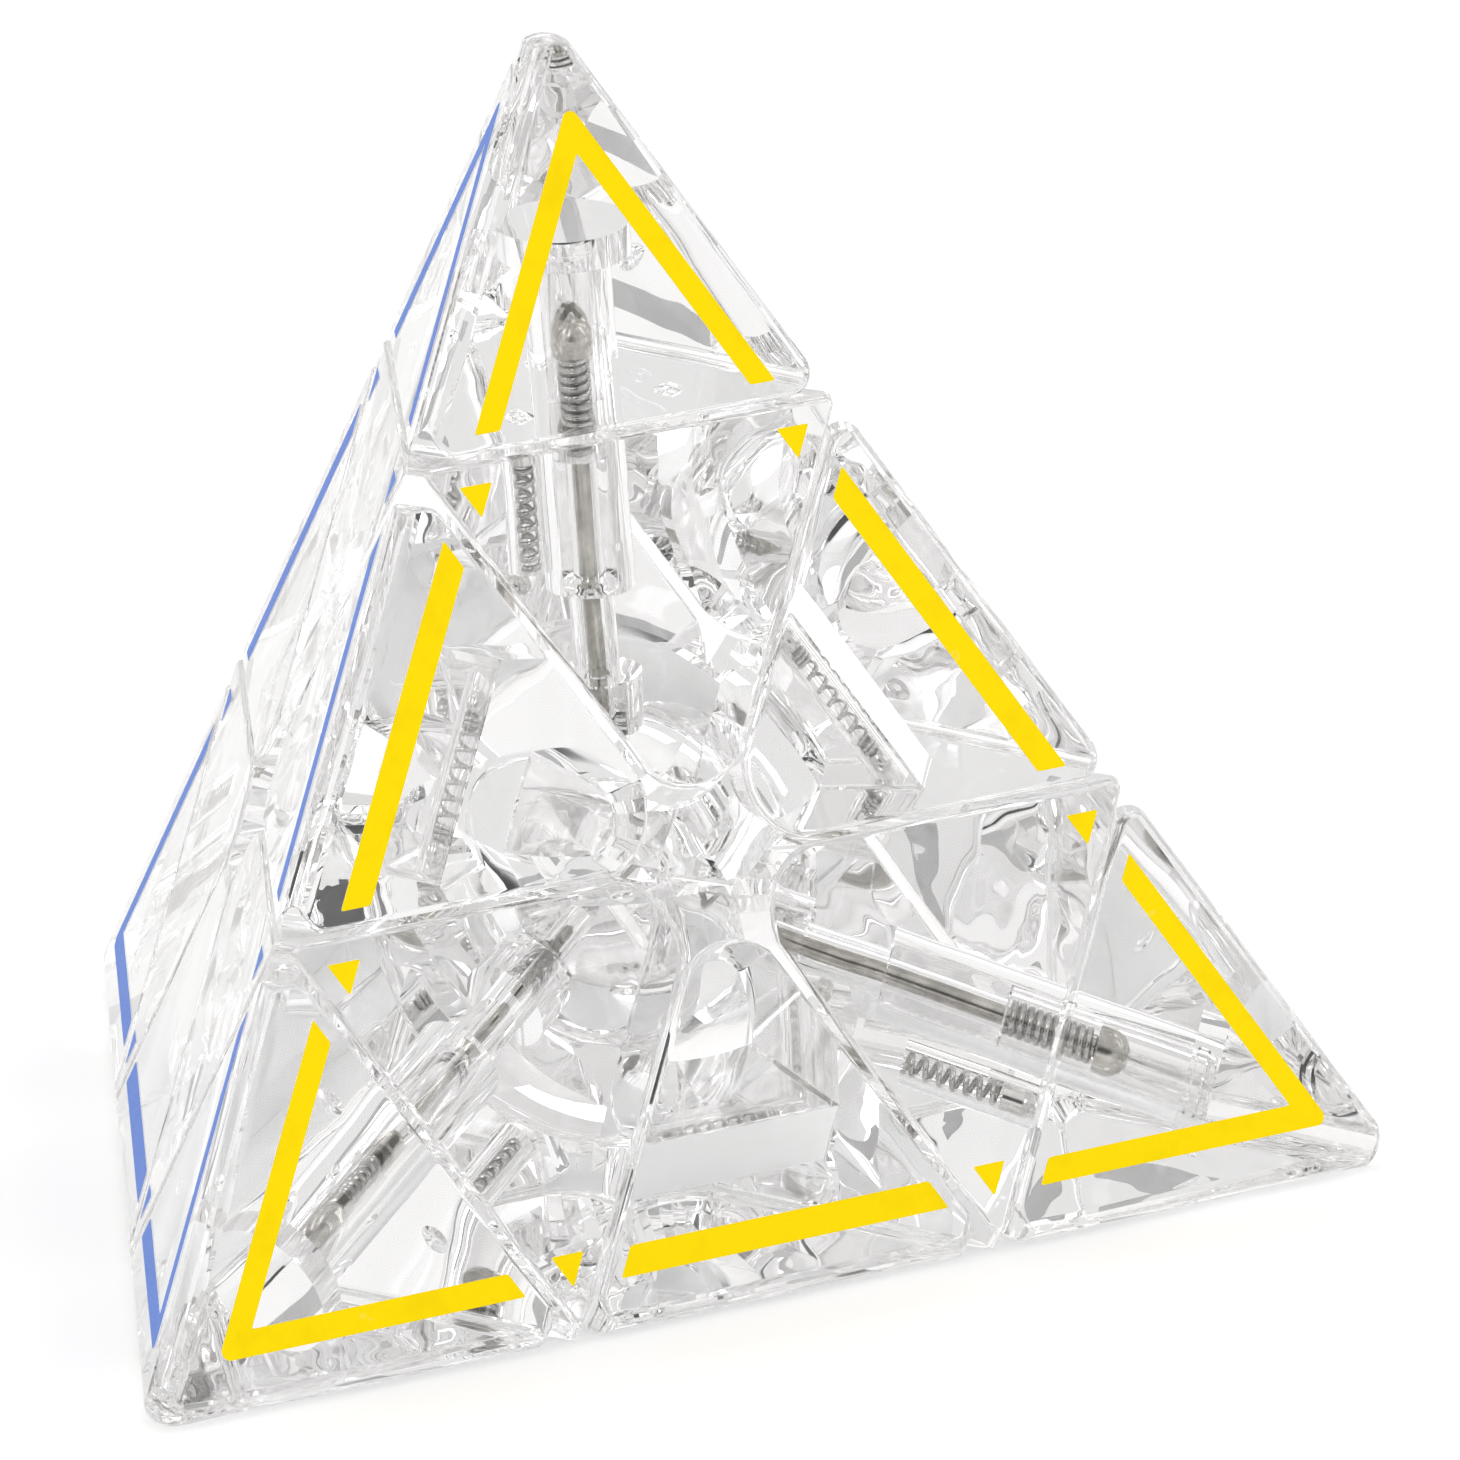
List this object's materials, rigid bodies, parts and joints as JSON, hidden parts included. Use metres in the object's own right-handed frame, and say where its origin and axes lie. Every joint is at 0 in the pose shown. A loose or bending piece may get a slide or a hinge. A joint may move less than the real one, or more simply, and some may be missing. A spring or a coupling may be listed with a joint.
{
  "type": "pyramid twisty puzzle",
  "caption": "Clear pyramid twisty puzzle: turning tips and layers on a sprung core, with a coloured outline strip inlaid in each face.",
  "frame": {"origin": "centre of the core, where the four turning axes meet", "axes": "+Z towards the top corner, -Y out of the front (yellow) face; the puzzle rests on its base face at z = -20 mm"},
  "size_m": [0.093, 0.0811, 0.0765],
  "materials": {
    "clear_plastic": "polished, colourless and clear",
    "screw_steel": "turned and plated steel",
    "spring_steel": "bright drawn wire",
    "ball_steel": "polished steel",
    "strip_yellow": "satin printed film",
    "strip_blue": "satin printed film",
    "strip_red": "satin printed film",
    "strip_green": "satin printed film"
  },
  "bodies": {
    "core": {"core_spider": "clear_plastic", "axis_screws": "screw_steel", "axis_springs": "spring_steel", "axle_sleeves": "clear_plastic"},
    "top_axial": {"axial_top": "clear_plastic", "click_spring_top": "spring_steel", "click_pin_top": "ball_steel", "axial_strips_top": "strip_yellow"},
    "top_tip": {"tip_top": "clear_plastic", "tip_strips_top": "strip_yellow"},
    "left_axial": {"axial_left": "clear_plastic", "click_spring_left": "spring_steel", "click_pin_left": "ball_steel", "axial_strips_left": "strip_blue"},
    "left_tip": {"tip_left": "clear_plastic", "tip_strips_left": "strip_blue"},
    "right_axial": {"axial_right": "clear_plastic", "click_spring_right": "spring_steel", "click_pin_right": "ball_steel", "axial_strips_right": "strip_red"},
    "right_tip": {"tip_right": "clear_plastic", "tip_strips_right": "strip_red"},
    "back_axial": {"axial_back": "clear_plastic", "click_spring_back": "spring_steel", "click_pin_back": "ball_steel", "axial_strips_back": "strip_green"},
    "back_tip": {"tip_back": "clear_plastic", "tip_strips_back": "strip_green"},
    "top_left_edge": {"edge_cap_top_left": "clear_plastic", "edge_foot_top_left": "clear_plastic", "edge_spring_top_left": "spring_steel", "edge_balls_top_left": "ball_steel", "edge_strips_top_left": "strip_yellow"},
    "top_right_edge": {"edge_cap_top_right": "clear_plastic", "edge_foot_top_right": "clear_plastic", "edge_spring_top_right": "spring_steel", "edge_balls_top_right": "ball_steel", "edge_strips_top_right": "strip_red"},
    "top_back_edge": {"edge_cap_top_back": "clear_plastic", "edge_foot_top_back": "clear_plastic", "edge_spring_top_back": "spring_steel", "edge_balls_top_back": "ball_steel", "edge_strips_top_back": "strip_blue"},
    "left_right_edge": {"edge_cap_left_right": "clear_plastic", "edge_foot_left_right": "clear_plastic", "edge_spring_left_right": "spring_steel", "edge_balls_left_right": "ball_steel", "edge_strips_left_right": "strip_yellow"},
    "right_back_edge": {"edge_cap_right_back": "clear_plastic", "edge_foot_right_back": "clear_plastic", "edge_spring_right_back": "spring_steel", "edge_balls_right_back": "ball_steel", "edge_strips_right_back": "strip_red"},
    "back_left_edge": {"edge_cap_back_left": "clear_plastic", "edge_foot_back_left": "clear_plastic", "edge_spring_back_left": "spring_steel", "edge_balls_back_left": "ball_steel", "edge_strips_back_left": "strip_blue"}
  },
  "joints": [
    {"name": "layer_top_turn", "type": "hinge", "parent": "core", "child": "top_axial", "pos_m": [0, 0, 0], "axis": [0, 0, 1], "range_deg": [-240, 120]},
    {"name": "tip_top_turn", "type": "hinge", "parent": "top_axial", "child": "top_tip", "pos_m": [0, 0, 0], "axis": [0, 0, 1], "continuous": true},
    {"name": "layer_left_turn", "type": "hinge", "parent": "core", "child": "left_axial", "pos_m": [0, 0, 0], "axis": [-0.8165, -0.4714, -0.3333], "range_deg": [-240, 120]},
    {"name": "tip_left_turn", "type": "hinge", "parent": "left_axial", "child": "left_tip", "pos_m": [0, 0, 0], "axis": [-0.8165, -0.4714, -0.3333], "continuous": true},
    {"name": "layer_right_turn", "type": "hinge", "parent": "core", "child": "right_axial", "pos_m": [0, 0, 0], "axis": [0.8165, -0.4714, -0.3333], "range_deg": [-240, 120]},
    {"name": "tip_right_turn", "type": "hinge", "parent": "right_axial", "child": "right_tip", "pos_m": [0, 0, 0], "axis": [0.8165, -0.4714, -0.3333], "continuous": true},
    {"name": "layer_back_turn", "type": "hinge", "parent": "core", "child": "back_axial", "pos_m": [0, 0, 0], "axis": [0, 0.9428, -0.3333], "range_deg": [-240, 120]},
    {"name": "tip_back_turn", "type": "hinge", "parent": "back_axial", "child": "back_tip", "pos_m": [0, 0, 0], "axis": [0, 0.9428, -0.3333], "continuous": true},
    {"name": "edge_top_left_turn", "type": "hinge", "parent": "top_axial", "child": "top_left_edge", "pos_m": [0, 0, 0], "axis": [-0.8165, -0.4714, -0.3333], "range_deg": [-240, 120]},
    {"name": "edge_top_right_turn", "type": "hinge", "parent": "top_axial", "child": "top_right_edge", "pos_m": [0, 0, 0], "axis": [0.8165, -0.4714, -0.3333], "range_deg": [-240, 120]},
    {"name": "edge_top_back_turn", "type": "hinge", "parent": "top_axial", "child": "top_back_edge", "pos_m": [0, 0, 0], "axis": [0, 0.9428, -0.3333], "range_deg": [-240, 120]},
    {"name": "edge_left_right_turn", "type": "hinge", "parent": "left_axial", "child": "left_right_edge", "pos_m": [0, 0, 0], "axis": [0.8165, -0.4714, -0.3333], "range_deg": [-240, 120]},
    {"name": "edge_right_back_turn", "type": "hinge", "parent": "right_axial", "child": "right_back_edge", "pos_m": [0, 0, 0], "axis": [0, 0.9428, -0.3333], "range_deg": [-240, 120]},
    {"name": "edge_back_left_turn", "type": "hinge", "parent": "back_axial", "child": "back_left_edge", "pos_m": [0, 0, 0], "axis": [-0.8165, -0.4714, -0.3333], "range_deg": [-240, 120]}
  ],
  "couplings": [
    {"joint": "edge_top_left_turn", "follows": "layer_left_turn", "ratio": 1},
    {"joint": "edge_top_right_turn", "follows": "layer_right_turn", "ratio": 1},
    {"joint": "edge_top_back_turn", "follows": "layer_back_turn", "ratio": 1},
    {"joint": "edge_left_right_turn", "follows": "layer_right_turn", "ratio": 1},
    {"joint": "edge_right_back_turn", "follows": "layer_back_turn", "ratio": 1},
    {"joint": "edge_back_left_turn", "follows": "layer_left_turn", "ratio": 1}
  ]
}
